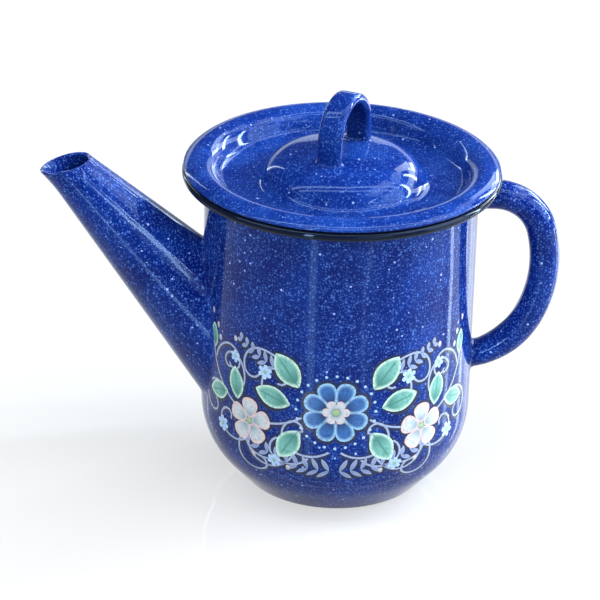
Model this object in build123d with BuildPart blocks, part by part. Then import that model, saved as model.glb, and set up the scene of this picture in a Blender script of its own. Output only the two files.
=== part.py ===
# Enamel tea kettle. A drawn steel pot with a rolled rim carries a straight cone
# spout and a tube handle, and a loose sunken lid with a strap knob drops into
# its mouth. Millimetres, +Z up. The origin is the middle of the flat base, the
# handle points along +X and the spout along -X.
import os
from math import cos, radians, sin, tan

from build123d import *

# Sheet and fits
wall = 1.2                 # enamelled sheet of the pot and the lid
edge_rounding = 0.45       # share of a sheet's thickness that rounds its cut edge
lid_seat_gap = 0.3         # between the lid's lower edge and the rolled rim
handle_rim_gap = 0.4       # between the handle's upper end and the rolled rim

# Pot
pot_radius = 55.0          # outside of the straight wall
base_radius = 33.4         # flat disc that the pot stands on
heel_radius = 6.0          # bend from the base into the flank
flank_angle = 48.0         # slope of the flank above the table
belly_radius = 36.0        # bend from the flank into the straight wall
rim_height = 135.9         # top of the rolled rim
rim_reach = 9.0            # the rim stands out this far from the wall
bead_radius = 1.7          # the rolled bead itself
flare_radius = 5.0         # outside bend from the wall into the rim

# Spout, a cone whose radii are measured outside and square to its axis
spout_root_z = 75.3        # height where the axis meets the wall
spout_slope = 46.7         # axis above the level
spout_root_radius = 22.0   # where the axis meets the wall
spout_mouth_radius = 8.7   # where the axis meets the mouth
spout_length = 82.3        # along the axis, from the wall to the mouth
spout_wall = 1.5
lip_length = 9.0           # last stretch, which opens a little
lip_flare = 0.6            # how much it opens
mouth_tilt = 17.4          # the mouth's plane rises toward the pot by this angle

# Strainer punched through the wall behind the spout
strainer_hole = 6.0
strainer_ring = 11.5       # radius of the ring of holes
strainer_count = 6         # holes in the ring, round one in the middle

# Handle, a tube whose ends are pressed flatter where they are welded on, the lower one more
handle_low_z = 54.2        # centre of the lower end, just inside the wall
handle_low_angle = 11.5    # how the lower end leaves the wall
handle_low_radius = 35.5
handle_low_turn = 54.5     # degrees of the lower bend
handle_back_turn = 39.0    # degrees of the long back bend
handle_top_radius = 20.0
handle_width = 13.4        # across the tube
handle_depth = 12.2        # in the plane of the handle
end_width = 15.0           # the same two at the pressed ends
top_end_depth = 11.4
low_end_depth = 10.0
end_blend = 0.2            # share of the centre line over which an end is pressed

# Lid
lid_overhang = 0.4         # its lower edge lies this far outside the bead's middle
border_bend = 8.1          # outside radius of the rounded border
border_edge_angle = 48.9   # the border ends at this slope, above the rim
border_fall_angle = 65.0   # and falls at this slope into the well
well_fall = 2.0            # straight stretch of that fall
well_bend = 4.0            # bend from the fall to the floor of the well
floor_width = 7.5          # flat floor of the well
foot_bend = 7.0            # bend from the floor up into the dome
dome_angle = 62.0          # steepest slope of the dome
shoulder_bend = 14.5       # outside radius of the dome's shoulder
crown_angle = 11.0         # slope where the shoulder meets the flatter crown

# Strap knob
knob_width = 10.2          # across the strap
knob_thickness = 4.4
knob_edge = 1.6            # rounding of the strap's edges
knob_span = 28.4           # between the middles of its legs
knob_rise = 23.6           # from the top of the dome to the top of the strap
knob_turn = 66.0           # angle of the strap from +X, as the lid lies
knob_offset = 0.5          # welded this far off the lid's axis, toward +X


def sine(angle):
    return sin(radians(angle))


def cosine(angle):
    return cos(radians(angle))


# Pot: one line is the outside of the drawn sheet, from the middle of the base
# to the rolled bead, and it also trims the spout and the handle to the wall
heel_run = heel_radius * sine(flank_angle)
belly_run = belly_radius * (1 - sine(flank_angle))
flank_length = (pot_radius - base_radius - heel_run - belly_run) / cosine(flank_angle)
bead_ring = pot_radius + rim_reach - bead_radius
flare_start_z = rim_height - wall - flare_radius


def draw_pot_outside():
    base = Line((0, 0), (base_radius, 0))
    heel = JernArc(base @ 1, base % 1, heel_radius, flank_angle)
    flank = PolarLine(heel @ 1, flank_length, flank_angle)
    belly = JernArc(flank @ 1, flank % 1, belly_radius, 90 - flank_angle)
    side = Line(belly @ 1, (pot_radius, flare_start_z))
    flare = JernArc(side @ 1, side % 1, flare_radius, -90)
    return Line(flare @ 1, (bead_ring, rim_height - wall))


with BuildPart() as pot_volume:
    with BuildSketch(Plane.XZ):
        with BuildLine():
            lip = draw_pot_outside()
            Polyline(lip @ 1, (bead_ring, rim_height), (0, rim_height), (0, 0))
        make_face()
    revolve(axis=Axis.Z)

strainer_plane = Plane(origin=(-pot_radius, 0, spout_root_z), x_dir=(0, 1, 0), z_dir=(-1, 0, 0))
with BuildPart() as pot_shell:
    with BuildSketch(Plane.XZ):
        with BuildLine():
            draw_pot_outside()
            offset(amount=wall, side=Side.LEFT)
        make_face()
        with Locations((bead_ring, rim_height - bead_radius)):
            Circle(bead_radius)
    revolve(axis=Axis.Z)
    with BuildSketch(strainer_plane):
        Circle(strainer_hole / 2)
        with PolarLocations(strainer_ring, strainer_count):
            Circle(strainer_hole / 2)
    extrude(amount=-pot_radius / 2, mode=Mode.SUBTRACT)

# Spout: a rolled cone, scribed to the wall, that opens a little at its cut mouth.
# It starts far enough down its axis for its lower side to reach the wall.
spout_axis = Vector(-cosine(spout_slope), 0, sine(spout_slope))
spout_plane = Plane(origin=(-pot_radius, 0, spout_root_z), x_dir=spout_axis, z_dir=(0, -1, 0))
spout_taper = (spout_root_radius - spout_mouth_radius) / spout_length
spout_steep = tan(radians(spout_slope))
spout_back = spout_root_radius * spout_steep / (1 - spout_taper * spout_steep) + 2 * wall
mouth_centre = spout_plane.from_local_coords((spout_length, 0, 0))
mouth_normal = Vector(-sine(mouth_tilt), 0, cosine(mouth_tilt))


def cone_point(along, opened=0.0):
    return (along, spout_root_radius - spout_taper * along + opened)


with BuildPart() as spout:
    with BuildSketch(spout_plane):
        with BuildLine():
            cone = Line(cone_point(-spout_back), cone_point(spout_length - lip_length))
            lip = TangentArc(cone @ 1, cone_point(spout_length, lip_flare), tangent=cone % 1)
            Line(lip @ 1, (lip @ 1) + (lip % 1) * spout_mouth_radius)
            offset(amount=spout_wall, side=Side.RIGHT)
        make_face()
    revolve(axis=Axis(spout_plane.origin, spout_axis))
    split(bisect_by=Plane(origin=mouth_centre, z_dir=mouth_normal), keep=Keep.BOTTOM)
    mouth_face = spout.faces().filter_by(Axis(mouth_centre, mouth_normal))[0]
    fillet(mouth_face.edges(), radius=edge_rounding * spout_wall)
    add(pot_volume.part, mode=Mode.SUBTRACT)

# Handle: the centre line is three tangent bends. The upper end lies under the
# rim, and the back bend takes up the height that is left below it.
handle_top_z = rim_height - 2 * bead_radius - handle_rim_gap - top_end_depth / 2
low_heading = handle_low_angle + handle_low_turn
back_heading = low_heading + handle_back_turn
low_rise = handle_low_radius * (cosine(handle_low_angle) - cosine(low_heading))
top_rise = handle_top_radius * (1 + cosine(back_heading))
back_rise = handle_top_z - handle_low_z - low_rise - top_rise
handle_back_radius = back_rise / (cosine(low_heading) - cosine(back_heading))
handle_start = pot_radius - 2 * wall

with BuildPart() as handle:
    with BuildLine(Plane.XZ) as handle_line:
        low_lead = (cosine(handle_low_angle), sine(handle_low_angle))
        low = JernArc((handle_start, handle_low_z), low_lead, handle_low_radius, handle_low_turn)
        back = JernArc(low @ 1, low % 1, handle_back_radius, handle_back_turn)
        top = JernArc(back @ 1, back % 1, handle_top_radius, 180 - back_heading)
        Line(top @ 1, (handle_start, handle_top_z))
    handle_path = handle_line.wire()
    under_rim = 1 - (pot_radius + rim_reach - handle_start) / handle_path.length
    for place, width, depth in (
        (0, end_width, low_end_depth),
        (end_blend, handle_width, handle_depth),
        (0.5, handle_width, handle_depth),
        (under_rim - end_blend, handle_width, handle_depth),
        (under_rim, end_width, top_end_depth),
        (1, end_width, top_end_depth),
    ):
        with BuildSketch(Plane(origin=handle_path @ place, x_dir=(0, 1, 0), z_dir=handle_path % place)):
            Ellipse(width / 2, depth / 2)
    sweep(path=handle_path, multisection=True)
    add(pot_volume.part, mode=Mode.SUBTRACT)

# Lid: rounded border, sunken well and low dome, pressed from one sheet. The
# border's lower edge lies over the bead, and the rest is drawn inward from it.
edge_inside = border_bend - wall
border_ring = bead_ring + lid_overhang - edge_inside * sine(border_edge_angle)
border_top_z = rim_height + lid_seat_gap + border_bend - edge_inside * cosine(border_edge_angle)
fall_run = border_bend * sine(border_fall_angle) + well_fall * cosine(border_fall_angle)
floor_start = border_ring - fall_run - well_bend * sine(border_fall_angle)
dome_foot = floor_start - floor_width - foot_bend * sine(dome_angle)
crown_edge = dome_foot - shoulder_bend * (sine(dome_angle) - sine(crown_angle))


def draw_lid_outside():
    edge_r = border_ring + border_bend * sine(border_edge_angle)
    edge_z = border_top_z - border_bend * (1 - cosine(border_edge_angle))
    edge_lead = (-cosine(border_edge_angle), sine(border_edge_angle))
    border = JernArc((edge_r, edge_z), edge_lead, border_bend, border_edge_angle + border_fall_angle)
    fall = PolarLine(border @ 1, well_fall, 180 + border_fall_angle)
    well = JernArc(fall @ 1, fall % 1, well_bend, -border_fall_angle)
    floor = PolarLine(well @ 1, floor_width, 180)
    foot = JernArc(floor @ 1, floor % 1, foot_bend, -dome_angle)
    shoulder = JernArc(foot @ 1, foot % 1, shoulder_bend, dome_angle - crown_angle)
    return JernArc(shoulder @ 1, shoulder % 1, crown_edge / sine(crown_angle), crown_angle)


with BuildPart() as lid_volume:
    with BuildSketch(Plane.XZ):
        with BuildLine() as lid_line:
            crown = draw_lid_outside()
            dome_top_z = (crown @ 1).Y
            well_z = lid_line.vertices().sort_by(Axis.Y)[0].Y
            lid_edge = lid_line.vertices().sort_by(Axis.X)[-1]
            Polyline(crown @ 1, (0, 0), (lid_edge.X, 0), (lid_edge.X, lid_edge.Y))
        make_face()
    revolve(axis=Axis.Z)

with BuildPart() as lid_shell:
    with BuildSketch(Plane.XZ) as lid_section:
        with BuildLine():
            draw_lid_outside()
            offset(amount=wall, side=Side.LEFT)
        make_face()
        fillet(lid_section.vertices().sort_by(Axis.X)[-2:], radius=edge_rounding * wall)
    revolve(axis=Axis.Z)

# Knob: a strap bent to a half circle on two straight legs that run down into
# the dome. It stands in an upright plane turned about the lid's axis.
knob_bend = knob_span / 2
leg_top_z = dome_top_z + knob_rise - knob_thickness / 2 - knob_bend
knob_plane = Plane(
    origin=(knob_offset, 0, 0),
    x_dir=(cosine(knob_turn), sine(knob_turn), 0),
    z_dir=(sine(knob_turn), -cosine(knob_turn), 0),
)

with BuildPart() as lid_knob:
    with BuildLine(knob_plane) as knob_line:
        near_leg = Line((-knob_bend, well_z), (-knob_bend, leg_top_z))
        arch = JernArc(near_leg @ 1, near_leg % 1, knob_bend, -180)
        Line(arch @ 1, (knob_bend, well_z))
    knob_path = knob_line.wire()
    with BuildSketch(Plane(origin=knob_path @ 0, x_dir=knob_plane.z_dir, z_dir=knob_path % 0)):
        RectangleRounded(knob_width, knob_thickness, knob_edge)
    sweep(path=knob_path)
    add(lid_volume.part, mode=Mode.SUBTRACT)

os.makedirs("parts", exist_ok=True)
for name, piece in (
    ("pot_shell", pot_shell),
    ("spout", spout),
    ("handle", handle),
    ("lid_shell", lid_shell),
    ("lid_knob", lid_knob),
):
    piece.part.label = name
    export_step(piece.part, f"parts/{name}.step")
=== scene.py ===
# Blue speckled enamel tea kettle with a printed garland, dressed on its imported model.
# All sizes are metres, +Z is up, the handle points along +X and the spout along -X.
# Angles are degrees until math.radians takes them.
import math

import bmesh
import bpy
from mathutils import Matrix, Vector


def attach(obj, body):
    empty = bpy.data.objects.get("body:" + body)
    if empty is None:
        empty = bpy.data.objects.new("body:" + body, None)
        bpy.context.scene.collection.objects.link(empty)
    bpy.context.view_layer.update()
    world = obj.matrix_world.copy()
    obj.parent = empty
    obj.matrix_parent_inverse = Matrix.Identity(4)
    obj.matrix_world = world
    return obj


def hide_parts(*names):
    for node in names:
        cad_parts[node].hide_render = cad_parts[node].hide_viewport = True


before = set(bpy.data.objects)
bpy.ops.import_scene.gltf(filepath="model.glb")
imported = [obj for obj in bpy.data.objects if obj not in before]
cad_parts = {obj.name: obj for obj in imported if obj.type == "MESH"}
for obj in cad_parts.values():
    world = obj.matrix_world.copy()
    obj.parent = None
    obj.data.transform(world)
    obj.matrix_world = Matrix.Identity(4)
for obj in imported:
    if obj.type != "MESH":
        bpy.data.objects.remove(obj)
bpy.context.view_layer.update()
bpy.ops.object.select_all(action="DESELECT")


# Pot: one sheet of steel, drawn to a rounded bottom, flared at the neck and
# rolled outward to a bead at the rim, then coated inside and out with blue
# enamel. The bead is dipped once more in black.
sheet = 0.0012
pot_radius = 0.055
base_radius = 0.0334
heel_bend = 0.006
flank_slope = 48
belly_bend = 0.036
wall_low = 0.07
wall_high = 0.1
rim_height = 0.1359
flare_bend = 0.005
bead_radius = 0.0017
bead_ring = 0.06228
bead_start = 163
smallest_ring = 0.001


def toward(degrees):
    """The direction at that angle, in the section of a turned sheet or on the face of a wall."""
    turn = math.radians(degrees)
    return Vector((math.cos(turn), math.sin(turn)))


def bend(centre, radius, start, stop, steps):
    """Rings round one bend of a turned sheet, as (radius, height), from start to stop degrees."""
    centre_r, centre_z = centre
    angles = [math.radians(start + (stop - start) * i / steps) for i in range(steps + 1)]
    return [(centre_r + radius * math.cos(a), centre_z + radius * math.sin(a)) for a in angles]


def turn_sheet(name, rings, sides=160):
    """A round pressed sheet: a disc at the first ring, extruded and scaled on from ring to ring."""
    radius, height = rings[0]
    bpy.ops.mesh.primitive_circle_add(
        vertices=sides,
        radius=radius,
        fill_type="TRIFAN",
        location=(0, 0, height),
    )
    piece = bpy.context.object
    piece.name = name
    bpy.ops.object.mode_set(mode="EDIT")
    bpy.ops.mesh.select_all(action="SELECT")
    bpy.ops.mesh.region_to_loop()
    for next_radius, next_height in rings[1:]:
        bpy.ops.mesh.extrude_region_move(TRANSFORM_OT_translate={"value": (0, 0, next_height - height)})
        widen = next_radius / radius
        bpy.ops.transform.resize(value=(widen, widen, 1), center_override=(0, 0, 0))
        radius, height = next_radius, next_height
    return piece


def face_outwards():
    """Turns every face of the mesh in edit mode outwards, and leaves edit mode."""
    bpy.ops.mesh.select_all(action="SELECT")
    bpy.ops.mesh.normals_make_consistent(inside=False)
    bpy.ops.object.mode_set(mode="OBJECT")


def finish_piece(piece, sharp=40):
    """Puts the piece's place into its mesh and shades it smooth, with creases kept past an angle."""
    bpy.ops.object.select_all(action="DESELECT")
    piece.select_set(True)
    bpy.context.view_layer.objects.active = piece
    bpy.ops.object.transform_apply(location=True, rotation=True, scale=True)
    bpy.ops.object.shade_smooth_by_angle(angle=math.radians(sharp))


# The straight flank touches both the heel bend and the belly bend.
flank_square = flank_slope - 90
heel_centre = Vector((base_radius, heel_bend))
belly_centre = heel_centre - toward(flank_square) * (belly_bend - heel_bend)
flank_length = (pot_radius - belly_bend - belly_centre.x) / math.cos(math.radians(flank_slope))
belly_centre += toward(flank_slope) * flank_length
flare_centre = (pot_radius + flare_bend, rim_height - sheet - flare_bend)

# The rings run up the outside, round the bead, and down the inside to the floor.
pot_rings = [(base_radius, 0.0)]
pot_rings += bend(heel_centre, heel_bend, -90, flank_square, 6)[1:]
pot_rings += bend(belly_centre, belly_bend, flank_square, 0, 12)
pot_rings += [(pot_radius, wall_low), (pot_radius, wall_high)]
pot_rings += bend(flare_centre, flare_bend, 180, 90, 8)
pot_rings += bend((bead_ring, rim_height - bead_radius), bead_radius, bead_start, 450, 22)
pot_rings += bend(flare_centre, flare_bend + sheet, 90, 180, 8)
pot_rings += [(pot_radius - sheet, wall_high), (pot_radius - sheet, wall_low)]
pot_rings += bend(belly_centre, belly_bend - sheet, 0, flank_square, 12)
pot_rings += bend(heel_centre, heel_bend - sheet, flank_square, -90, 6)
pot_rings += [(smallest_ring, sheet)]
pot = turn_sheet("pot_sheet", pot_rings)
bpy.ops.mesh.merge(type="CENTER")
face_outwards()

# The strainer is seven holes punched through the wall, round the spout's axis.
spout_root_height = 0.0753
strainer_ring = 0.0115
hole_radius = 0.003
punch_length = 0.02
bpy.ops.object.select_all(action="DESELECT")
punches = []
for aside, up in [(0, 0)] + [toward(turn) * strainer_ring for turn in range(0, 360, 60)]:
    bpy.ops.mesh.primitive_cylinder_add(
        vertices=32,
        radius=hole_radius,
        depth=punch_length,
        location=(-pot_radius, aside, spout_root_height + up),
        rotation=(0, math.pi / 2, 0),
    )
    punches.append(bpy.context.object)
for punch in punches:
    punch.select_set(True)
bpy.ops.object.join()
strainer = bpy.context.object
cut = pot.modifiers.new("strainer", "BOOLEAN")
cut.operation = "DIFFERENCE"
cut.solver = "EXACT"
cut.object = strainer
bpy.ops.object.select_all(action="DESELECT")
bpy.context.view_layer.objects.active = pot
bpy.ops.object.modifier_apply(modifier="strainer")
bpy.data.objects.remove(strainer)
finish_piece(pot)


def new_group(name, inputs, outputs):
    """A shader group with named sockets, returned with its two ends."""
    group = bpy.data.node_groups.new(name, "ShaderNodeTree")
    for label, kind, value in inputs:
        socket = group.interface.new_socket(name=label, in_out="INPUT", socket_type=kind)
        if value is not None:
            socket.default_value = value
    for label, kind in outputs:
        group.interface.new_socket(name=label, in_out="OUTPUT", socket_type=kind)
    return group, group.nodes.new("NodeGroupInput"), group.nodes.new("NodeGroupOutput")


def new_material(name):
    """A material of nodes, returned with its tree and its shader."""
    material = bpy.data.materials.new(name)
    material.use_nodes = True
    return material, material.node_tree, material.node_tree.nodes["Principled BSDF"]


def feed(tree, socket, value):
    """Links another node's output to the socket, or sets it to a plain number or colour."""
    if isinstance(value, bpy.types.NodeSocket):
        tree.links.new(value, socket)
    else:
        socket.default_value = value


def math_node(tree, operation, *values, clamp=False):
    """One math node on sockets or numbers, returned as its output socket."""
    node = tree.nodes.new("ShaderNodeMath")
    node.operation = operation
    node.use_clamp = clamp
    for socket, value in zip(node.inputs, values):
        feed(tree, socket, value)
    return node.outputs[0]


def mix_colour(tree, factor, first, second):
    """Colour that goes from first to second as factor goes from 0 to 1."""
    node = tree.nodes.new("ShaderNodeMix")
    node.data_type = "RGBA"
    for index, value in ((0, factor), (6, first), (7, second)):
        feed(tree, node.inputs[index], value)
    return node.outputs[2]


def ramp(tree, value, low, high, start=0.0, stop=1.0):
    """A smooth step of value between low and high, from start to stop."""
    node = tree.nodes.new("ShaderNodeMapRange")
    node.interpolation_type = "SMOOTHSTEP"
    tree.links.new(value, node.inputs["Value"])
    for label, number in (("From Min", low), ("From Max", high), ("To Min", start), ("To Max", stop)):
        node.inputs[label].default_value = number
    return node.outputs["Result"]


def noise(tree, place, scale, detail=2):
    """A soft cloudy pattern in space, from 0 to 1."""
    node = tree.nodes.new("ShaderNodeTexNoise")
    node.inputs["Scale"].default_value = scale
    node.inputs["Detail"].default_value = detail
    tree.links.new(place, node.inputs["Vector"])
    return node.outputs["Fac"]


def bump(tree, height, distance, strength, under=None):
    """The normal of a surface raised by height, over an earlier bump if one is given."""
    node = tree.nodes.new("ShaderNodeBump")
    node.inputs["Distance"].default_value = distance
    node.inputs["Strength"].default_value = strength
    tree.links.new(height, node.inputs["Height"])
    if under is not None:
        tree.links.new(under, node.inputs["Normal"])
    return node.outputs["Normal"]


def spatter(tree, place, cells, share, size):
    """One throw of drops: round spots of uneven size in some of the cells of a 3D grid."""
    least, spread = size * 0.55, size * 0.6
    soft_from = 0.55
    spots = tree.nodes.new("ShaderNodeTexVoronoi")
    spots.voronoi_dimensions = "3D"
    spots.inputs["Scale"].default_value = cells
    tree.links.new(place, spots.inputs["Vector"])
    chance = tree.nodes.new("ShaderNodeSeparateColor")
    tree.links.new(spots.outputs["Color"], chance.inputs["Color"])
    here = math_node(tree, "LESS_THAN", chance.outputs["Red"], share)
    reach = math_node(tree, "MULTIPLY_ADD", chance.outputs["Green"], spread, least)
    inside = math_node(tree, "DIVIDE", spots.outputs["Distance"], reach)
    drop = ramp(tree, inside, soft_from, 1.0, 1.0, 0.0)
    return math_node(tree, "MULTIPLY", here, drop)


# Speckled enamel: a dark cobalt ground, clouded a little, with fine pale blue
# spatter all over, and now and then a larger drop that is nearly white.
pot_ground = (0.002, 0.009, 0.112, 1)
pot_cloud = (0.003, 0.020, 0.175, 1)
speckle, speckle_in, speckle_out = new_group(
    "speckled enamel",
    (
        ("Place", "NodeSocketVector", None),
        ("Ground", "NodeSocketColor", pot_ground),
        ("Cloud", "NodeSocketColor", pot_cloud),
        ("Spatter", "NodeSocketColor", (0.065, 0.15, 0.50, 1)),
        ("Drop", "NodeSocketColor", (0.34, 0.46, 0.86, 1)),
        ("Cover", "NodeSocketFloat", 1.0),
    ),
    (("Colour", "NodeSocketColor"), ("Height", "NodeSocketFloat")),
)
place = speckle_in.outputs["Place"]
clouds = noise(speckle, place, scale=60, detail=3)
cloudy = ramp(speckle, clouds, low=0.35, high=0.7)
colour = mix_colour(speckle, cloudy, speckle_in.outputs["Ground"], speckle_in.outputs["Cloud"])

# Dust comes first, thinner between the clouds, then fine drops, then the larger ones.
cover = speckle_in.outputs["Cover"]
thin_places = ramp(speckle, clouds, low=0.25, high=0.65, start=0.55, stop=1.0)
dust_cover = math_node(speckle, "MULTIPLY", cover, thin_places)
throws = []
for cells, share, size, strength, covers, paint in (
    (1300, 0.80, 0.50, 0.6, dust_cover, "Spatter"),
    (860, 0.40, 0.46, 0.8, cover, "Spatter"),
    (480, 0.09, 0.27, 1.0, cover, "Drop"),
):
    drops = math_node(speckle, "MULTIPLY", spatter(speckle, place, cells, share, size), strength)
    drops = math_node(speckle, "MULTIPLY", drops, covers)
    colour = mix_colour(speckle, drops, colour, speckle_in.outputs[paint])
    throws.append(drops)
speckle.links.new(colour, speckle_out.inputs["Colour"])
raised = math_node(speckle, "MAXIMUM", *throws[1:])
speckle.links.new(raised, speckle_out.inputs["Height"])


def enamel(name, ground=pot_ground, cloud=pot_cloud, cover=1.0):
    """A glossy enamel coat with its speckle, and the slow waves and fine pits of a fired glaze."""
    material, tree, shader = new_material(name)
    place = tree.nodes.new("ShaderNodeTexCoord").outputs["Object"]
    coat = tree.nodes.new("ShaderNodeGroup")
    coat.node_tree = speckle
    coat.name = "speckle"
    tree.links.new(place, coat.inputs["Place"])
    for label, value in (("Ground", ground), ("Cloud", cloud), ("Cover", cover)):
        coat.inputs[label].default_value = value
    tree.links.new(coat.outputs["Colour"], shader.inputs["Base Color"])
    waves = noise(tree, place, scale=45, detail=1)
    waved = bump(tree, waves, distance=0.0004, strength=0.25)
    pitted = bump(tree, coat.outputs["Height"], distance=0.00006, strength=0.15, under=waved)
    tree.links.new(pitted, shader.inputs["Normal"])
    roughness = ramp(tree, waves, low=0.3, high=0.7, start=0.056, stop=0.091)
    tree.links.new(roughness, shader.inputs["Roughness"])
    shader.inputs["IOR"].default_value = 1.27
    shader.inputs["Specular Tint"].default_value = (0.42, 0.66, 1, 1)
    return material


# The black of the rim ends in a slightly wandering brushed edge under the bead.
rim_black = (0.004, 0.006, 0.016, 1)
black_from = 0.1319
black_full = 0.1323
black_wander = 0.0012
pot_enamel = enamel("pot enamel")
tree = pot_enamel.node_tree
place = tree.nodes["Texture Coordinate"].outputs["Object"]
split = tree.nodes.new("ShaderNodeSeparateXYZ")
tree.links.new(place, split.inputs["Vector"])
wander = noise(tree, place, scale=90)
height = math_node(tree, "MULTIPLY_ADD", wander, black_wander, split.outputs["Z"])
black = ramp(tree, height, black_from, black_full)
rim_coat = mix_colour(tree, black, tree.nodes["speckle"].outputs["Colour"], rim_black)
tree.links.new(rim_coat, tree.nodes["Principled BSDF"].inputs["Base Color"])
pot.data.materials.append(pot_enamel)
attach(pot, "pot")
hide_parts("pot_shell")


# Spout: a sheet rolled to a straight cone, scribed to the wall and welded on.
# Enamel fills the corner at its root, and its cut mouth opens a little.
spout_slope = math.radians(46.7)
spout_root_radius = 0.022
spout_mouth_radius = 0.0087
spout_length = 0.0823
spout_sheet = 0.0015
spout_edge = 0.0007
lip_length = 0.009
lip_flare = 0.0006
past_mouth = 0.006
ring_gap = 0.001
mouth_tilt = math.radians(17.4)
mouth_trim = 0.0008
spout_seam_height = 0.0698
spout_fillet_foot = 0.0024
spout_fillet_rise = 0.0019
seam_lift = 0.00003
spout_along = Vector((-math.cos(spout_slope), 0, math.sin(spout_slope)))
spout_root = Vector((-pot_radius, 0, spout_root_height))
taper = (spout_root_radius - spout_mouth_radius) / spout_length


def spout_radius(along):
    """The cone's radius there, with the lip's opening near the mouth."""
    opened = max(0.0, (along - spout_length + lip_length) / lip_length)
    curve = opened ** 2 if opened < 1 else 2 * opened - 1
    return spout_root_radius - taper * along + lip_flare * curve


# The cone is extruded from ring to ring, from past the mouth down to near the wall.
stations = [spout_length + past_mouth - ring_gap * i for i in range(16)]
stations += [0.066, 0.058, 0.050, 0.040, 0.030]
bpy.ops.mesh.primitive_circle_add(
    vertices=144,
    radius=spout_radius(stations[0]),
    location=spout_root + spout_along * stations[0],
    rotation=(0, spout_slope - math.pi / 2, 0),
)
spout = bpy.context.object
spout.name = "spout_cone"
bpy.ops.object.transform_apply(location=True, rotation=True, scale=True)
bpy.ops.object.mode_set(mode="EDIT")
bpy.ops.mesh.select_all(action="SELECT")
for last, along in zip(stations, stations[1:]):
    bpy.ops.mesh.extrude_region_move(TRANSFORM_OT_translate={"value": spout_along * (along - last)})
    shrink = spout_radius(along) / spout_radius(last)
    bpy.ops.transform.resize(value=(shrink, shrink, shrink), center_override=spout_root + spout_along * along)


def weld_on(piece, slide, spread, fillet):
    """Extends the selected ring to what carries it, and fills the corner as molten enamel does.

    slide moves a point on to the surface there, and spread moves it on along the surface, to
    where the filling ends, a hair above it. Between them the rings follow a hollow curve.
    """
    steps = 7
    mesh = bmesh.from_edit_mesh(piece.data)
    ring = {}
    for vertex in mesh.verts:
        if vertex.select:
            ring[vertex.co.to_tuple()] = (vertex.co.copy(), slide(vertex.co))
    for step in range(steps + 1):
        bpy.ops.mesh.extrude_region_move()
        mesh = bmesh.from_edit_mesh(piece.data)
        t = step / steps
        extruded = {}
        for vertex in mesh.verts:
            if vertex.select:
                ends = [edge.other_vert(vertex) for edge in vertex.link_edges]
                behind = next(end for end in ends if not end.select)
                start, corner = ring[behind.co.to_tuple()]
                above = corner + (start - corner).normalized() * fillet
                vertex.co = above * (1 - t) ** 2 + corner * (2 * t * (1 - t)) + spread(corner) * t ** 2
                extruded[vertex.co.to_tuple()] = (start, corner)
        ring = extruded
        bmesh.update_edit_mesh(piece.data)


def to_wall(apex):
    """Slides a point along its line from the apex until it meets the pot's wall."""
    def slide(point):
        line = (point - apex).normalized()
        a = line.x ** 2 + line.y ** 2
        b = point.x * line.x + point.y * line.y
        c = point.x ** 2 + point.y ** 2 - pot_radius ** 2
        return point + line * ((-b - math.sqrt(b * b - a * c)) / a)
    return slide


def along_wall(side, height, foot):
    """Moves a point on the wall away from a middle on the +X or -X side at that height."""
    def spread(point):
        turn = math.atan2(point.y, point.x * side)
        aside = Vector((turn * pot_radius, point.z - height))
        aside += aside.normalized() * foot
        turn = aside.x / pot_radius
        reach = pot_radius + seam_lift
        return Vector((reach * math.cos(turn) * side, reach * math.sin(turn), aside.y + height))
    return spread


def thicken_sheet(piece, thickness, edge, steps):
    """Gives a surface its sheet, inwards, and rounds the edges where the sheet is cut."""
    thicken = piece.modifiers.new("sheet", "SOLIDIFY")
    thicken.thickness = thickness
    thicken.offset = -1
    bpy.ops.object.modifier_apply(modifier="sheet")
    soften = piece.modifiers.new("rounded edge", "BEVEL")
    soften.width = edge
    soften.segments = steps
    soften.limit_method = "ANGLE"
    soften.angle_limit = math.radians(60)
    bpy.ops.object.modifier_apply(modifier="rounded edge")


# The cone's last ring is scribed to the wall along the lines of the cone.
apex = spout_root + spout_along * (spout_root_radius / taper)
to_seam = along_wall(-1, spout_seam_height, spout_fillet_foot)
weld_on(spout, to_wall(apex), to_seam, spout_fillet_rise)

# The mouth is cut to its slope, and the faces are turned if they look inwards.
mouth = spout_root + spout_along * (spout_length - mouth_trim)
mouth_normal = (-math.sin(mouth_tilt), 0, math.cos(mouth_tilt))
bpy.ops.mesh.select_all(action="SELECT")
bpy.ops.mesh.bisect(plane_co=mouth, plane_no=mouth_normal, clear_outer=True)
bpy.ops.mesh.select_all(action="SELECT")
bpy.ops.mesh.normals_make_consistent(inside=False)
face = next(iter(bmesh.from_edit_mesh(spout.data).faces))
out = face.calc_center_median() - spout_root
out -= spout_along * out.dot(spout_along)
if face.normal.dot(out) < 0:
    bpy.ops.mesh.flip_normals()
bpy.ops.object.mode_set(mode="OBJECT")
thicken_sheet(spout, spout_sheet, spout_edge, 4)
finish_piece(spout)
spout_enamel = enamel("spout enamel")
spout.data.materials.append(spout_enamel)
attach(spout, "pot")
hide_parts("spout")


# Handle: a tube bent in three turns, with both ends pressed flatter where they
# are welded to the wall. The upper end is tucked under the rim.
handle_width = 0.0134
handle_depth = 0.0122
handle_root = pot_radius - 2 * sheet
low_end_height = 0.0542
low_end_heading = 11.5
low_bend = 0.0355
low_heading = 22
back_heading = 66
back_bend = 0.055635
top_heading = 105
top_bend = 0.0200
middle_height = 0.0800
top_pressed = 0.0114
press_blend = 0.0214
low_press = 0.18
top_press = 0.066
press_widening = 0.12


def out_of_bend(heading):
    """From a bend's centre to the tube, where the tube heads at that many degrees."""
    turn = math.radians(heading)
    return Vector((math.sin(turn), 0, -math.cos(turn)))


# The low bend starts inside the wall, and each bend touches the next one.
low_centre = Vector((handle_root, 0, low_end_height)) - out_of_bend(low_end_heading) * low_bend
back_centre = low_centre + out_of_bend(back_heading) * (low_bend - back_bend)
top_centre = back_centre + out_of_bend(top_heading) * (back_bend - top_bend)
top_run = top_centre.x - handle_root

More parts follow.
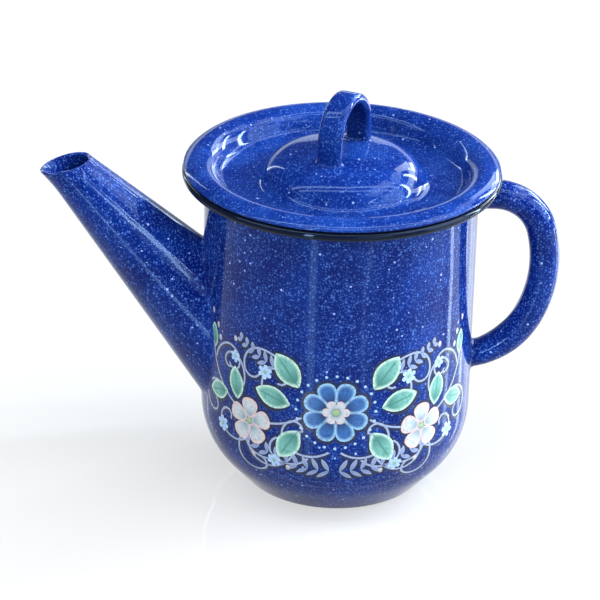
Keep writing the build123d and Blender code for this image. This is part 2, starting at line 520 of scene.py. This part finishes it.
# The tube is spun from a ring a little outside the wall, and its ends are pressed.
handle_start = low_centre + out_of_bend(low_heading) * low_bend
handle_along = out_of_bend(low_heading + 90)
bpy.ops.mesh.primitive_circle_add(
    vertices=64,
    radius=handle_depth / 2,
    location=handle_start,
    rotation=(0, math.radians(90 - low_heading), 0),
)
handle = bpy.context.object
handle.name = "handle_tube"
handle.scale.y = handle_width / handle_depth
bpy.ops.object.transform_apply(location=True, rotation=True, scale=True)
bpy.ops.object.mode_set(mode="EDIT")
bpy.ops.mesh.select_all(action="SELECT")
for steps, turned, centre in (
    (24, back_heading - low_heading, low_centre),
    (24, top_heading - back_heading, back_centre),
    (30, 180 - top_heading, top_centre),
):
    bpy.ops.mesh.spin(steps=steps, angle=math.radians(turned), center=centre, axis=(0, 1, 0))


def pressed(distance, whole, length):
    """How far the tube is pressed flat, from 1 near its end to 0 once it is full and round."""
    left = min(1.0, max(0.0, (whole + length - distance) / length))
    return left * left * (3 - 2 * left)


# An arm that points straight up may lean either way by rounding, so its heading has no sign.
mesh = bmesh.from_edit_mesh(handle.data)
for vertex in mesh.verts:
    low = vertex.co.z < middle_height
    centre, bent = (low_centre, low_bend) if low else (top_centre, top_bend)
    arm = Vector((vertex.co.x - centre.x, 0, vertex.co.z - centre.z))
    heading = abs(math.atan2(arm.x, -arm.z))
    if low:
        sunk = pressed(low_bend * (heading - math.radians(low_end_heading)), 0.0, press_blend)
        squeeze = 1 - low_press * sunk
    else:
        sunk = pressed(top_run + top_bend * (math.pi - heading), top_pressed, press_blend)
        squeeze = 1 - top_press * sunk
    arm *= (bent + (arm.length - bent) * squeeze) / arm.length if sunk else 1
    vertex.co = Vector((centre.x + arm.x, vertex.co.y * (1 + press_widening * sunk), centre.z + arm.z))
bmesh.update_edit_mesh(handle.data)


def select_ring(piece, belongs):
    """Selects only those vertices for which belongs is true, and the edges between them."""
    bpy.ops.mesh.select_all(action="DESELECT")
    mesh = bmesh.from_edit_mesh(piece.data)
    for vertex in mesh.verts:
        vertex.select = belongs(vertex.co)
    mesh.select_flush(True)
    bmesh.update_edit_mesh(piece.data)


# The upper end runs level into the wall, under the rim, with hardly any room for
# filling. The lines come from a point so far off that they are parallel.
far = 10
touching = 0.000001
upper_height = top_centre.z + top_bend
upper_fillet_foot = 0.0004
upper_fillet_rise = 0.0003
upper_apex = Vector((far, 0, upper_height))
weld_on(handle, to_wall(upper_apex), along_wall(1, upper_height, upper_fillet_foot), upper_fillet_rise)

# The lower end runs a little downhill into it.
lower_fall = math.radians(14.32)
lower_seam_height = 0.0548
lower_fillet_foot = 0.0022
lower_fillet_rise = 0.0018
lower_apex = handle_start + Vector((math.cos(lower_fall), 0, math.sin(lower_fall))) * far
select_ring(handle, lambda point: abs((point - handle_start).dot(handle_along)) < touching)
weld_on(handle, to_wall(lower_apex), along_wall(1, lower_seam_height, lower_fillet_foot), lower_fillet_rise)

# Both ends are closed inside the seam.
bpy.ops.mesh.select_all(action="DESELECT")
bpy.ops.mesh.select_non_manifold(
    extend=False,
    use_wire=False,
    use_multi_face=False,
    use_non_contiguous=False,
    use_verts=False,
)
bpy.ops.mesh.edge_face_add()
face_outwards()
finish_piece(handle)
handle_enamel = enamel("handle enamel")
handle.data.materials.append(handle_enamel)
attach(handle, "pot")
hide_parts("handle")


# Lid: one pressed sheet that drops into the mouth. A rounded border lies over the
# rim, a well runs inside it, and a low dome rises from the well.
border_centre = Vector((0.0575, 0.131664))
border_bend = 0.0081
border_edge_slope = 48.9
border_fall_slope = 65
fall_length = 0.002
well_bend = 0.004
well_floor = 0.0075
foot_bend = 0.007
dome_slope = 62
shoulder_bend = 0.0145
crown_slope = 11
crown_start = 89.6
lid_edge = 0.0005

# Each bend touches the next one, from the border inwards to the crown.
well_centre = border_centre + toward(90 + border_fall_slope) * (border_bend + well_bend)
well_centre += toward(180 + border_fall_slope) * fall_length
foot_centre = well_centre + Vector((-well_floor, foot_bend - well_bend))
shoulder_centre = foot_centre + toward(270 - dome_slope) * (foot_bend + shoulder_bend)
crown_radius = shoulder_centre.x / math.sin(math.radians(crown_slope)) + shoulder_bend
crown_centre = shoulder_centre.y - (crown_radius - shoulder_bend) * math.cos(math.radians(crown_slope))
lid_rings = bend((0.0, crown_centre), crown_radius, crown_start, 90 - crown_slope, 12)
lid_rings += bend(shoulder_centre, shoulder_bend, 90 - crown_slope, 90 - dome_slope, 12)[1:]
lid_rings += bend(foot_centre, foot_bend, 270 - dome_slope, 270, 10)[1:]
lid_rings += bend(well_centre, well_bend, 270, 270 + border_fall_slope, 9)
lid_rings += bend(border_centre, border_bend, 90 + border_fall_slope, 90 - border_edge_slope, 22)
lid = turn_sheet("lid_sheet", lid_rings)
face_outwards()
thicken_sheet(lid, sheet, lid_edge, 3)
finish_piece(lid)
# The lid's ground and cloud are a little lighter than the pot's enamel: painted light, as the lid faces the
# lamps above.
lid_ground_with_painted_light = (0.002, 0.013, 0.125, 1)
lid_cloud_with_painted_light = (0.005, 0.028, 0.19, 1)
lid_cover = 0.55
lid_enamel = enamel("lid enamel", lid_ground_with_painted_light, lid_cloud_with_painted_light, lid_cover)
lid.data.materials.append(lid_enamel)
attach(lid, "lid")
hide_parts("lid_shell")


# Knob: a flat strap with rounded edges, bent to a U, welded to the dome and
# enamelled with it. It stands askew, as the lid lies.
knob_thickness = 0.0044
knob_width = 0.0102
knob_edge = 0.0021
knob_bend = 0.0142
knob_rise = 0.0236
knob_offset = 0.0005
knob_turn = math.radians(66)
knob_foot = 0.1455
knob_fillet_foot = 0.0018
knob_fillet_rise = 0.0014
knob_top = crown_centre + crown_radius + knob_rise - knob_thickness / 2 - knob_bend
knob_across = Vector((math.cos(knob_turn), math.sin(knob_turn), 0))
knob_square = Vector((math.sin(knob_turn), -math.cos(knob_turn), 0))
knob_middle = Vector((knob_offset, 0, knob_top))

bpy.ops.mesh.primitive_plane_add(size=1)
knob = bpy.context.object
knob.name = "knob_strap"
knob.scale = (knob_thickness, knob_width, 1)
knob.rotation_euler = (0, 0, knob_turn)
knob.location = Vector((knob_offset, 0, knob_foot)) - knob_across * knob_bend
bpy.ops.object.transform_apply(location=True, rotation=True, scale=True)
bpy.ops.object.mode_set(mode="EDIT")
bpy.ops.mesh.select_all(action="SELECT")
bpy.ops.mesh.bevel(offset=knob_edge, segments=8, affect="VERTICES")
bpy.ops.mesh.delete(type="ONLY_FACE")
bpy.ops.mesh.select_all(action="SELECT")
bpy.ops.mesh.extrude_region_move(TRANSFORM_OT_translate={"value": (0, 0, knob_top - knob_foot)})
bpy.ops.mesh.spin(steps=36, angle=math.pi, center=knob_middle, axis=knob_square)
bpy.ops.mesh.extrude_region_move(TRANSFORM_OT_translate={"value": (0, 0, knob_foot - knob_top)})


def dome_height(point):
    """The height of the dome's crown under or over a point."""
    return crown_centre + math.sqrt(crown_radius ** 2 - point.x ** 2 - point.y ** 2)


def on_dome(point):
    """Moves a point straight down on to the dome."""
    return Vector((point.x, point.y, dome_height(point)))


def round_leg(side):
    """Moves a point on the dome away from the middle of the near or the far leg."""
    leg = Vector((knob_offset, 0, 0)) + knob_across * knob_bend * side
    def spread(point):
        away = Vector((point.x - leg.x, point.y - leg.y, 0))
        moved = point + away.normalized() * knob_fillet_foot
        return Vector((moved.x, moved.y, dome_height(moved) + seam_lift))
    return spread


def at_near_foot(point):
    """Whether a point is on the open end of the near leg."""
    near = (point - knob_middle).dot(knob_across) < 0
    return near and abs(point.z - knob_foot) < touching


weld_on(knob, on_dome, round_leg(1), knob_fillet_rise)
select_ring(knob, at_near_foot)
weld_on(knob, on_dome, round_leg(-1), knob_fillet_rise)
face_outwards()
finish_piece(knob)
# The knob takes the lid's lighter enamel colours, the same painted light as on the lid.
knob_enamel = enamel("knob enamel", lid_ground_with_painted_light, lid_cloud_with_painted_light, lid_cover)
knob.data.materials.append(knob_enamel)
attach(knob, "lid")
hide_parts("lid_knob")


# Garland: a generic flowering spray printed round the front of the belly. Its leaves,
# petals and stems are drawn flat and true size, rolled to the pot's radius, and laid
# on the wall one coat over another, a few hundredths of a millimetre apart.
print_gap = 0.0003
print_radius = pot_radius + print_gap
print_scale = 0.0012
print_drop = 0.0115


def motif(name, outline, cuts):
    """One flat leaf or petal of unit size: its foot at the origin and its tip at +Y.

    Its UV map runs from the foot to the tip too, and from side to side.
    """
    bpy.ops.mesh.primitive_circle_add(vertices=20, radius=0.5, fill_type="TRIFAN", location=(0, 0.5, 0))
    shape = bpy.context.object
    shape.name = name
    bpy.ops.object.transform_apply(location=True, rotation=True, scale=True)
    bpy.ops.object.mode_set(mode="EDIT")
    bpy.ops.mesh.select_all(action="SELECT")
    bpy.ops.mesh.subdivide(number_cuts=cuts)
    bpy.ops.object.mode_set(mode="OBJECT")
    paint_map = shape.data.uv_layers.new(name="motif")
    for loop in shape.data.loops:
        corner = shape.data.vertices[loop.vertex_index].co
        paint_map.data[loop.index].uv = (corner.x * 2, corner.y)
    for vertex in shape.data.vertices:
        vertex.co.x *= outline(vertex.co.y)
    return shape


def lay(shape, coat, across, up, turn, width, length):
    """Copies a motif to its place on the flat sheet, with its foot at (across, up).

    Its place and its size are in steps of the drawing, and its turn is in degrees.
    """
    copy = bpy.data.objects.new(shape.name, shape.data.copy())
    bpy.context.collection.objects.link(copy)
    copy.location = (across * print_scale, up * print_scale - print_drop, 0)
    copy.rotation_euler = (0, 0, math.radians(turn - 90))
    copy.scale = (width * print_scale, length * print_scale, 1)
    coat.append(copy)


def lay_both(shape, coat, across, up, turn, width, length):
    """The same to the right of the middle, and mirrored to the left."""
    lay(shape, coat, across, up, turn, width, length)
    lay(shape, coat, -across, up, 180 - turn, width, length)


def stroke(coat, across, up, heading, turns, width):
    """A drawn line of even width: an edge spun on from arc to arc.

    Each arc is (radius, degrees), and a left turn is positive.
    """
    arc_per_step = 80
    point = Vector((across * print_scale, up * print_scale - print_drop, 0))
    heading = math.radians(heading)
    bpy.ops.mesh.primitive_circle_add(vertices=3, radius=1)
    line = bpy.context.object
    bpy.ops.object.mode_set(mode="EDIT")
    bpy.ops.mesh.select_all(action="SELECT")
    bpy.ops.mesh.delete(type="VERT")
    mesh = bmesh.from_edit_mesh(line.data)
    left = Vector((-math.sin(heading), math.cos(heading), 0))
    ends = [mesh.verts.new(point + left * (width * half * print_scale / 2)) for half in (-1, 1)]
    mesh.edges.new(ends)
    bmesh.update_edit_mesh(line.data)
    bpy.ops.mesh.select_all(action="SELECT")
    for radius, degrees in turns:
        way = 1 if degrees > 0 else -1
        centre = point + left * (way * radius * print_scale)
        steps = max(3, int(abs(degrees) * radius / arc_per_step))
        bpy.ops.mesh.spin(steps=steps, angle=math.radians(abs(degrees)), center=centre, axis=(0, 0, -way))
        heading += math.radians(degrees)
        left = Vector((-math.sin(heading), math.cos(heading), 0))
        point = centre - left * (way * radius * print_scale)
    bpy.ops.object.mode_set(mode="OBJECT")
    coat.append(line)


def mirror_all(coat):
    """Adds the mirror image of each line to the left of the middle."""
    for line in list(coat):
        copy = bpy.data.objects.new("line", line.data.copy())
        bpy.context.collection.objects.link(copy)
        copy.scale = (-1, 1, 1)
        coat.append(copy)


def print_coat(name, coat, lift, material):
    """Joins one colour of the flat sheet, rolls it round the pot and lays it that far above the wall."""
    bpy.ops.object.select_all(action="DESELECT")
    for shape in coat:
        shape.select_set(True)
    bpy.context.view_layer.objects.active = coat[0]
    bpy.ops.object.join()
    sheet_print = bpy.context.object
    sheet_print.name = name
    bpy.ops.object.transform_apply(location=True, rotation=True, scale=True)
    bpy.ops.object.mode_set(mode="EDIT")
    face_outwards()
    sheet_print.rotation_euler = (math.pi / 2, 0, 0)
    bpy.ops.object.transform_apply(location=True, rotation=True, scale=True)
    roll = sheet_print.modifiers.new("roll", "SIMPLE_DEFORM")
    roll.deform_method = "BEND"
    roll.deform_axis = "Z"
    roll.angle = sheet_print.dimensions.x / print_radius
    bpy.ops.object.modifier_apply(modifier="roll")
    sheet_print.location = (0, -print_radius, 0)
    bpy.ops.object.transform_apply(location=True, rotation=True, scale=True)
    cling = sheet_print.modifiers.new("cling", "SHRINKWRAP")
    cling.target = pot
    cling.wrap_mode = "ABOVE_SURFACE"
    cling.offset = lift
    bpy.ops.object.modifier_apply(modifier="cling")
    finish_piece(sheet_print)
    sheet_print.data.materials.append(material)
    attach(sheet_print, "pot")


leaf = motif("leaf", lambda along: (4.2 * along * (1 - along) + 0.001) ** 0.4, 3)
petal = motif("petal", lambda along: 0.45 + 0.75 * along, 2)
dot = motif("dot", lambda along: 1.0, 1)
shades, leaves, blossoms, rosette, dots, hearts, stems = [], [], [], [], [], [], []


def blossom(coat, across, up, petals, width, length, turned, inner):
    """A ring of petals, whose feet are inner steps from its middle, with a dark shade behind."""
    for i in range(petals):
        turn = turned + 360 * i / petals
        foot = (across + inner * math.cos(math.radians(turn)), up + inner * math.sin(math.radians(turn)))
        lay(petal, coat, *foot, turn, width, length)
        lay(petal, shades, *foot, turn, width * 1.22, length * 1.12)


# The middle rosette: a ring of beads round two rings of petals.
rosette_up = 55
beads_radius = 13.4
blossom(rosette, 0, rosette_up, petals=8, width=7.2, length=9.2, turned=22.5, inner=2.2)
blossom(blossoms, 0, rosette_up, petals=6, width=3.4, length=4.2, turned=0, inner=0.4)
lay(dot, hearts, 0, rosette_up - 1.5, 90, 3.0, 3.0)
for i in range(24):
    around = math.radians(15 * i)
    up = rosette_up + beads_radius * math.sin(around) - 0.5
    lay(dot, dots, beads_radius * math.cos(around), up, 90, 1.0, 1.0)

# Leaves, with a shade behind each, and blossoms and small flowers on both sides.
blossom_across = 31
blossom_up = 46
for across, up, turn, width, length in (
    (12.5, 63, 52, 8.5, 14),
    (15.5, 56, 14, 7.6, 13.5),
    (12.5, 47, -58, 8.0, 13),
    (36.5, 52, 82, 6.6, 12),
    (41.5, 53, -16, 6.4, 11.5),
    (50.0, 66, 84, 4.4, 9),
):
    lay_both(leaf, leaves, across, up, turn, width, length)
    lay_both(leaf, shades, across, up - 0.5, turn, width * 1.3, length * 1.1)
for side in (-1, 1):
    middle = side * blossom_across
    blossom(blossoms, middle, blossom_up, petals=5, width=7.4, length=7.6, turned=90, inner=0.9)
    lay(dot, hearts, middle, blossom_up - 1.3, 90, 2.6, 2.6)
    for across, up, size in ((25, 66, 1.7), (44, 40, 1.8), (38, 67.5, 1.4), (21, 34, 1.6)):
        for i in range(6):
            turn = 60 * i + across
            lay(petal, dots, side * across, up, turn, size * 1.05, size * 1.6)
        lay(dot, hearts, side * across, up - size * 0.35, 90, size * 0.7, size * 0.7)

# The stem and its curled tendrils, each over a broader line of shade.
line_width = 0.75
shade_width = 2.2
shade_drop = 0.3
backs = []
for across, up, heading, turns in (
    (11.5, 52, -35, ((26, 75), (22, 40))),
    (26, 47, -15, ((13, -80), (6.5, -120), (3.2, -150))),
    (42.5, 53.4, 30, ((9, -90), (5, -130), (2.6, -150))),
    (13, 63, 75, ((15, -70), (7, -110), (3.4, -150))),
    (12, 47, -95, ((16, 60), (8, 110), (3.8, 150))),
    (49, 63, 100, ((10, 60), (5, 130), (2.6, 140))),
    (2, 40, -35, ((12, 70), (6, 110), (3, 140))),
    (9, 37, -50, ((9, 80), (4.5, 120), (2.2, 140))),
    (19, 36, -40, ((9, 80), (4.5, 120), (2.2, 140))),
    (31, 40, -50, ((9, 90), (4.5, 120), (2.2, 140))),
    (25, 57, 60, ((9, 60), (4.5, 120), (2.2, 150))),
    (34, 58, 110, ((9, -60), (4.5, -120), (2.2, -150))),
):
    stroke(stems, across, up, heading, turns, line_width)
    stroke(backs, across, up - shade_drop, heading, turns, shade_width)
mirror_all(stems)
mirror_all(backs)
shades += backs
for across, up in ((48, 74), (46.5, 70), (51.5, 78), (29, 33), (16, 31), (38, 73)):
    lay_both(dot, blossoms, across, up, 90, 1.5, 2.2)

# A feathery sprig under the rosette, and one over each blossom, both dwindling outwards.
sprigs = []
for i in range(9):
    across = 1.8 + 3.6 * i
    up = 32.6 + 0.007 * across ** 2
    for turn in (-38, 62):
        lay_both(leaf, sprigs, across, up, turn + 3 * i, 1.6, 5.4 - 0.25 * i)
        lay_both(leaf, shades, across, up - shade_drop, turn + 3 * i, 3.0, 6.2 - 0.25 * i)
for i in range(6):
    across = 22 + 2.6 * i
    up = 68.5 + 1.3 * i
    for turn in (-22, 78):
        lay_both(leaf, sprigs, across, up, turn, 1.5, 4.4 - 0.4 * i)
        lay_both(leaf, shades, across, up - shade_drop, turn, 2.8, 5.0 - 0.4 * i)
stems = sprigs + stems

# Overglaze paint: each coat has a core colour at the motif's foot, then a body and a
# rim colour, brushed on in streaks. Leaves have a vein, and the paint is worn in places.
brush, brush_in, brush_out = new_group(
    "brush paint",
    (
        ("Core", "NodeSocketColor", (1, 1, 1, 1)),
        ("Body", "NodeSocketColor", (1, 1, 1, 1)),
        ("Rim", "NodeSocketColor", (1, 1, 1, 1)),
        ("Vein", "NodeSocketFloat", 0.0),
    ),
    (("Colour", "NodeSocketColor"),),
)
core = brush_in.outputs["Core"]
motif_map = brush.nodes.new("ShaderNodeUVMap")
motif_map.uv_map = "motif"
parts = brush.nodes.new("ShaderNodeSeparateXYZ")
brush.links.new(motif_map.outputs["UV"], parts.inputs["Vector"])
aside = math_node(brush, "ABSOLUTE", parts.outputs["X"])
half = math_node(brush, "SUBTRACT", parts.outputs["Y"], 0.5)
half = math_node(brush, "MULTIPLY", half, 2.0)
squares = [math_node(brush, "MULTIPLY", side, side) for side in (aside, half)]
out_from_middle = math_node(brush, "SQRT", math_node(brush, "ADD", *squares))
place = brush.nodes.new("ShaderNodeTexCoord").outputs["Object"]
bristle = noise(brush, place, scale=900)
wobble = math_node(brush, "MULTIPLY_ADD", bristle, 0.3, -0.15)
along = math_node(brush, "ADD", parts.outputs["Y"], wobble)
edge = math_node(brush, "ADD", out_from_middle, wobble)
past_core = ramp(brush, along, low=0.12, high=0.6)
paint = mix_colour(brush, past_core, core, brush_in.outputs["Body"])
at_rim = ramp(brush, edge, low=0.62, high=0.95)
paint = mix_colour(brush, at_rim, paint, brush_in.outputs["Rim"])
near_spine = ramp(brush, aside, low=0.03, high=0.13, start=1.0, stop=0.0)
below_tip = ramp(brush, parts.outputs["Y"], low=0.75, high=0.95, start=1.0, stop=0.0)
vein = math_node(brush, "MULTIPLY", near_spine, below_tip)
vein = math_node(brush, "MULTIPLY", vein, brush_in.outputs["Vein"])
paint = mix_colour(brush, vein, paint, core)
worn = ramp(brush, bristle, low=0.42, high=0.68, start=0.0, stop=0.5)
brush.links.new(mix_colour(brush, worn, paint, core), brush_out.inputs["Colour"])


def print_colour(name, core, body, rim, vein=0.0):
    """Overglaze colour brushed from a motif's foot to its rim."""
    material, tree, shader = new_material(name)
    colour = tree.nodes.new("ShaderNodeGroup")
    colour.node_tree = brush
    for label, value in (("Core", core), ("Body", body), ("Rim", rim)):
        colour.inputs[label].default_value = (*value, 1)
    colour.inputs["Vein"].default_value = vein
    tree.links.new(colour.outputs["Colour"], shader.inputs["Base Color"])
    shader.inputs["Roughness"].default_value = 0.22
    shader.inputs["IOR"].default_value = 1.42
    return material


night = (0.003, 0.006, 0.025)
shade = print_colour("garland shade", night, night, (0.004, 0.012, 0.06))
lilac_grey = print_colour("garland lilac grey", (0.16, 0.22, 0.42), (0.22, 0.28, 0.48), (0.3, 0.36, 0.55))
mint = print_colour("garland mint", (0.04, 0.18, 0.16), (0.15, 0.38, 0.34), (0.52, 0.72, 0.62), vein=0.8)
rosette_blue = print_colour("garland blue", (0.004, 0.02, 0.09), (0.02, 0.11, 0.34), (0.28, 0.50, 0.72))
blush = print_colour("garland blossom", (0.20, 0.30, 0.36), (0.50, 0.52, 0.55), (0.68, 0.46, 0.46))
pale_blue = print_colour("garland pale blue", (0.26, 0.42, 0.68), (0.36, 0.52, 0.76), (0.5, 0.64, 0.8))
moss = print_colour("garland heart", (0.20, 0.34, 0.22), (0.34, 0.44, 0.22), (0.10, 0.20, 0.20))
for name, coat, lift, paint in (
    ("garland_shade", shades, 0.00003, shade),
    ("garland_stems", stems, 0.00007, lilac_grey),
    ("garland_leaves", leaves, 0.00010, mint),
    ("garland_rosette", rosette, 0.00010, rosette_blue),
    ("garland_blossoms", blossoms, 0.00014, blush),
    ("garland_dots", dots, 0.00014, pale_blue),
    ("garland_hearts", hearts, 0.00018, moss),
):
    print_coat(name, coat, lift, paint)
for shape in (leaf, petal, dot):
    bpy.data.objects.remove(shape)


# Studio: a pale, slightly glossy table under a soft panel and bare ceiling tubes,
# with windows round it that show in the enamel, and the camera at the photograph's
# angle. The table looks white wherever the camera or a reflection sees it.
bpy.ops.mesh.primitive_plane_add(size=14, location=(0, 0, 0))
floor = bpy.context.object
floor.name = "floor"
table_white = 0.57
floor_paint, tree, table = new_material("pale table")
table.inputs["Base Color"].default_value = (0.22, 0.22, 0.22, 1)
table.inputs["Roughness"].default_value = 0.07
table.inputs["IOR"].default_value = 1.7
table.inputs["Emission Color"].default_value = (1, 1, 1, 1)
sight = tree.nodes.new("ShaderNodeLightPath")
seen = math_node(tree, "ADD", sight.outputs["Is Camera Ray"], sight.outputs["Is Glossy Ray"])
seen = math_node(tree, "ADD", seen, sight.outputs["Is Transmission Ray"], clamp=True)
tree.links.new(math_node(tree, "MULTIPLY", seen, table_white), table.inputs["Emission Strength"])
floor.data.materials.append(floor_paint)

world = bpy.data.worlds.new("pale studio")
world.use_nodes = True
world.node_tree.nodes["Background"].inputs["Color"].default_value = (0.86, 0.92, 1.0, 1)
world.node_tree.nodes["Background"].inputs["Strength"].default_value = 0.12
bpy.context.scene.world = world


def window_light(name, place, target, width, height, power):
    """A soft rectangular window that faces the target."""
    bpy.ops.object.light_add(type="AREA", location=place)
    lamp = bpy.context.object
    lamp.name = name
    lamp.data.shape = "RECTANGLE"
    lamp.data.size = width
    lamp.data.size_y = height
    lamp.data.energy = power
    lamp.rotation_euler = (Vector(target) - Vector(place)).to_track_quat("-Z", "Y").to_euler()
    return lamp


ceiling_height = 2.0


def ceiling_tube(name, start, end, width, power):
    """A lit bar under the ceiling, from one (x, y) to the other."""
    start, end = Vector((*start, ceiling_height)), Vector((*end, ceiling_height))
    middle = (start + end) / 2
    tube = window_light(name, middle, middle - Vector((0, 0, 1)), (end - start).length, width, power)
    tube.rotation_euler = (0, 0, math.atan2(end.y - start.y, end.x - start.x))


window_light("overhead panel", (0.8, -1.4, 2.1), (0.8, -1.4, 0), 6.4, 2.2, 12)
ceiling_tube("back tube", (-2.8, -0.25), (0.2, -0.20), 0.20, 26)
ceiling_tube("back right tube", (0.2, -0.20), (3.2, 0.60), 0.20, 26)
ceiling_tube("front tube", (-2.3, -0.68), (0.4, -0.62), 0.16, 17)
ceiling_tube("front right tube", (0.4, -0.62), (2.8, -0.05), 0.16, 15)
ceiling_tube("short tube", (1.62, -2.6), (2.3, -1.5), 0.12, 17)
ceiling_tube("far short tube", (1.5, -4.1), (1.9, -2.2), 0.12, 24)
ceiling_tube("left tube", (-2.8, -0.35), (-2.8, -3.0), 0.16, 10)
ceiling_tube("right tube", (3.2, 0.60), (3.2, -2.6), 0.16, 10)
ceiling_tube("right soft panel", (1.5, -1.2), (1.5, 0.7), 0.90, 34)

window_distance = 2.0
daylight = (0.80, 0.93, 1.0)
for name, azimuth, middle, width, height, power in (
    ("front left window", -22, 0.9, 0.20, 1.4, 30),
    ("front soft window", 22, 0.8, 0.80, 1.0, 7),
    ("right window", 80, 0.9, 1.30, 1.4, 40),
    ("right window bar", 108, 0.80, 0.14, 1.2, 40),
    ("right back bar", 132, 0.80, 0.16, 1.2, 22),
    ("right back window", 127, 0.75, 1.40, 0.5, 20),
    ("high right window", 125, 1.95, 1.40, 0.7, 15),
    ("crest window", 149, 1.25, 0.50, 0.9, 11),
    ("low crest window", 148, 0.58, 0.40, 0.3, 5),
    ("left back window", -142, 0.9, 0.08, 1.4, 5),
    ("low back window", 180, 0.42, 3.40, 0.35, 6),
):
    around = math.radians(azimuth)
    place = Vector((math.sin(around) * window_distance, -math.cos(around) * window_distance, middle))
    window_light(name, place, (0, 0, middle), width, height, power).data.color = daylight

bpy.ops.object.camera_add()
camera = bpy.context.object
camera.name = "photo camera"
camera_distance = 1.4
elevation = math.radians(25.93)
roll = math.radians(1.58)
looks_at = Vector((-0.01543, 0, 0.07684))
camera.location = looks_at + Vector((0, -math.cos(elevation), math.sin(elevation))) * camera_distance
camera.rotation_mode = "ZXY"
camera.rotation_euler = (math.pi / 2 - elevation, 0, roll)
camera.data.sensor_width = 36
camera.data.lens = 206.7
camera.data.clip_start = 0.01
bpy.context.scene.camera = camera
bpy.context.scene.view_settings.view_transform = "Standard"
